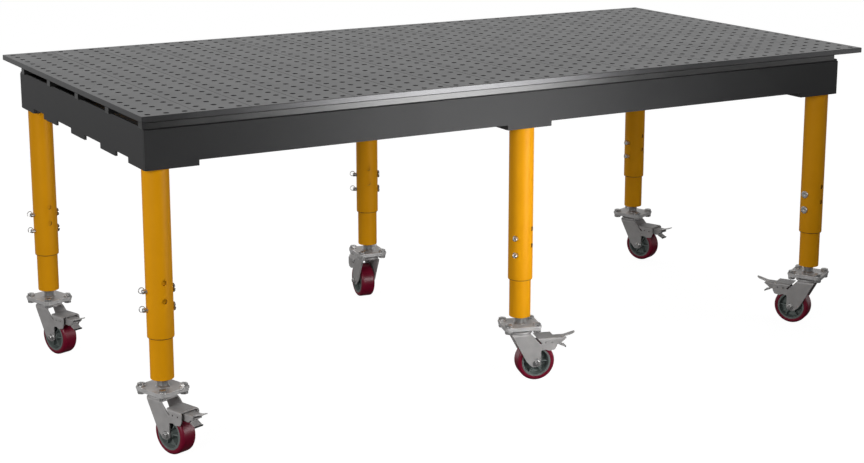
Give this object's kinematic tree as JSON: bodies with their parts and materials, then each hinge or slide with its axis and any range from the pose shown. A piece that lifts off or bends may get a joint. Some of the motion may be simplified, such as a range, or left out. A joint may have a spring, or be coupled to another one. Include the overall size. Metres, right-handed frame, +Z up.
{
  "type": "welding table",
  "caption": "Drilled plank-top welding and fixture table on a ladder frame, with telescoping pinned tube legs on braked swivel casters.",
  "frame": {"origin": "on the floor, under the middle of the object's overall box", "axes": "+X along the table's length towards the end where the top overhangs the frame, +Y from the front edge to the back edge, +Z up"},
  "size_m": [2.4494, 1.3348, 0.9169],
  "materials": {
    "plank_steel": "dark oxide, faintly brushed along each plank",
    "rail_steel": "dark oxide",
    "frame_paint": "satin dark grey paint",
    "leg_paint": "golden yellow powder coat",
    "pin_zinc": "zinc plated",
    "caster_zinc": "zinc plated pressed steel",
    "pedal_zinc": "zinc plated pressed steel",
    "wheel_tread": "dark red polyurethane tread, grey hub"
  },
  "bodies": {
    "table": {"back_apron": "frame_paint", "back_left_lower_pin": "pin_zinc", "back_left_outer_tube": "leg_paint", "back_left_upper_pin": "pin_zinc", "back_middle_lower_pin": "pin_zinc", "back_middle_outer_tube": "leg_paint", "back_middle_upper_pin": "pin_zinc", "back_right_lower_pin": "pin_zinc", "back_right_outer_tube": "leg_paint", "back_right_upper_pin": "pin_zinc", "front_apron": "frame_paint", "front_left_lower_pin": "pin_zinc", "front_left_outer_tube": "leg_paint", "front_left_upper_pin": "pin_zinc", "front_middle_lower_pin": "pin_zinc", "front_middle_outer_tube": "leg_paint", "front_middle_upper_pin": "pin_zinc", "front_right_lower_pin": "pin_zinc", "front_right_outer_tube": "leg_paint", "front_right_upper_pin": "pin_zinc", "left_end_plate": "frame_paint", "left_rib": "frame_paint", "middle_left_rib": "frame_paint", "middle_right_rib": "frame_paint", "right_end_plate": "frame_paint", "right_rib": "frame_paint", "support_rail_1": "rail_steel", "support_rail_2": "rail_steel", "support_rail_3": "rail_steel", "support_rail_4": "rail_steel", "support_rail_5": "rail_steel", "top_plank_section_1": "plank_steel", "top_plank_section_2": "plank_steel", "top_plank_section_3": "plank_steel", "top_plank_section_4": "plank_steel"},
    "front_left_extension": {"front_left_inner_tube": "leg_paint"},
    "front_left_caster": {"front_left_caster_fork": "caster_zinc"},
    "front_left_wheel_body": {"front_left_wheel": "wheel_tread"},
    "front_left_pedal": {"front_left_brake_pedal": "pedal_zinc"},
    "front_middle_extension": {"front_middle_inner_tube": "leg_paint"},
    "front_middle_caster": {"front_middle_caster_fork": "caster_zinc"},
    "front_middle_wheel_body": {"front_middle_wheel": "wheel_tread"},
    "front_middle_pedal": {"front_middle_brake_pedal": "pedal_zinc"},
    "front_right_extension": {"front_right_inner_tube": "leg_paint"},
    "front_right_caster": {"front_right_caster_fork": "caster_zinc"},
    "front_right_wheel_body": {"front_right_wheel": "wheel_tread"},
    "front_right_pedal": {"front_right_brake_pedal": "pedal_zinc"},
    "back_left_extension": {"back_left_inner_tube": "leg_paint"},
    "back_left_caster": {"back_left_caster_fork": "caster_zinc"},
    "back_left_wheel_body": {"back_left_wheel": "wheel_tread"},
    "back_left_pedal": {"back_left_brake_pedal": "pedal_zinc"},
    "back_middle_extension": {"back_middle_inner_tube": "leg_paint"},
    "back_middle_caster": {"back_middle_caster_fork": "caster_zinc"},
    "back_middle_wheel_body": {"back_middle_wheel": "wheel_tread"},
    "back_middle_pedal": {"back_middle_brake_pedal": "pedal_zinc"},
    "back_right_extension": {"back_right_inner_tube": "leg_paint"},
    "back_right_caster": {"back_right_caster_fork": "caster_zinc"},
    "back_right_wheel_body": {"back_right_wheel": "wheel_tread"},
    "back_right_pedal": {"back_right_brake_pedal": "pedal_zinc"}
  },
  "joints": [
    {"name": "front_left_height", "type": "slide", "parent": "table", "child": "front_left_extension", "axis": [0, 0, -1], "range_m": [0, 0.07]},
    {"name": "front_left_swivel", "type": "hinge", "parent": "front_left_extension", "child": "front_left_caster", "pos_m": [-1.1612, -0.49597, 0.15621], "axis": [0, 0, 1], "continuous": true},
    {"name": "front_left_roll", "type": "hinge", "parent": "front_left_caster", "child": "front_left_wheel_body", "pos_m": [-1.14576, -0.53981, 0.05715], "axis": [0.9432, 0.3322, 0], "continuous": true},
    {"name": "front_left_brake", "type": "hinge", "parent": "front_left_caster", "child": "front_left_pedal", "pos_m": [-1.12787, -0.5906, 0.11938], "axis": [0.9432, 0.3322, 0], "range_deg": [0, 14]},
    {"name": "front_middle_height", "type": "slide", "parent": "table", "child": "front_middle_extension", "axis": [0, 0, -1], "range_m": [0, 0.07]},
    {"name": "front_middle_swivel", "type": "hinge", "parent": "front_middle_extension", "child": "front_middle_caster", "pos_m": [-0.03293, -0.49597, 0.15621], "axis": [0, 0, 1], "continuous": true},
    {"name": "front_middle_roll", "type": "hinge", "parent": "front_middle_caster", "child": "front_middle_wheel_body", "pos_m": [0.01149, -0.50964, 0.05715], "axis": [0.294, 0.9558, 0], "continuous": true},
    {"name": "front_middle_brake", "type": "hinge", "parent": "front_middle_caster", "child": "front_middle_pedal", "pos_m": [0.06296, -0.52547, 0.11938], "axis": [0.294, 0.9558, 0], "range_deg": [0, 14]},
    {"name": "front_right_height", "type": "slide", "parent": "table", "child": "front_right_extension", "axis": [0, 0, -1], "range_m": [0, 0.07]},
    {"name": "front_right_swivel", "type": "hinge", "parent": "front_right_extension", "child": "front_right_caster", "pos_m": [1.09483, -0.49597, 0.15621], "axis": [0, 0, 1], "continuous": true},
    {"name": "front_right_roll", "type": "hinge", "parent": "front_right_caster", "child": "front_right_wheel_body", "pos_m": [1.07089, -0.45613, 0.05715], "axis": [-0.8572, -0.515, 0], "continuous": true},
    {"name": "front_right_brake", "type": "hinge", "parent": "front_right_caster", "child": "front_right_pedal", "pos_m": [1.04315, -0.40997, 0.11938], "axis": [-0.8572, -0.515, 0], "range_deg": [0, 14]},
    {"name": "back_left_height", "type": "slide", "parent": "table", "child": "back_left_extension", "axis": [0, 0, -1], "range_m": [0, 0.07]},
    {"name": "back_left_swivel", "type": "hinge", "parent": "back_left_extension", "child": "back_left_caster", "pos_m": [-1.1612, 0.47558, 0.15621], "axis": [0, 0, 1], "continuous": true},
    {"name": "back_left_roll", "type": "hinge", "parent": "back_left_caster", "child": "back_left_wheel_body", "pos_m": [-1.14599, 0.43166, 0.05715], "axis": [0.9449, 0.3272, 0], "continuous": true},
    {"name": "back_left_brake", "type": "hinge", "parent": "back_left_caster", "child": "back_left_pedal", "pos_m": [-1.12837, 0.38077, 0.11938], "axis": [0.9449, 0.3272, 0], "range_deg": [0, 14]},
    {"name": "back_middle_height", "type": "slide", "parent": "table", "child": "back_middle_extension", "axis": [0, 0, -1], "range_m": [0, 0.07]},
    {"name": "back_middle_swivel", "type": "hinge", "parent": "back_middle_extension", "child": "back_middle_caster", "pos_m": [-0.03293, 0.47558, 0.15621], "axis": [0, 0, 1], "continuous": true},
    {"name": "back_middle_roll", "type": "hinge", "parent": "back_middle_caster", "child": "back_middle_wheel_body", "pos_m": [-0.02695, 0.52168, 0.05715], "axis": [-0.9917, 0.1288, 0], "continuous": true},
    {"name": "back_middle_brake", "type": "hinge", "parent": "back_middle_caster", "child": "back_middle_pedal", "pos_m": [-0.02001, 0.57508, 0.11938], "axis": [-0.9917, 0.1288, 0], "range_deg": [0, 14]},
    {"name": "back_right_height", "type": "slide", "parent": "table", "child": "back_right_extension", "axis": [0, 0, -1], "range_m": [0, 0.07]},
    {"name": "back_right_swivel", "type": "hinge", "parent": "back_right_extension", "child": "back_right_caster", "pos_m": [1.09483, 0.47558, 0.15621], "axis": [0, 0, 1], "continuous": true},
    {"name": "back_right_roll", "type": "hinge", "parent": "back_right_caster", "child": "back_right_wheel_body", "pos_m": [1.11164, 0.43225, 0.05715], "axis": [0.9323, 0.3616, 0], "continuous": true},
    {"name": "back_right_brake", "type": "hinge", "parent": "back_right_caster", "child": "back_right_pedal", "pos_m": [1.13111, 0.38204, 0.11938], "axis": [0.9323, 0.3616, 0], "range_deg": [0, 14]}
  ]
}
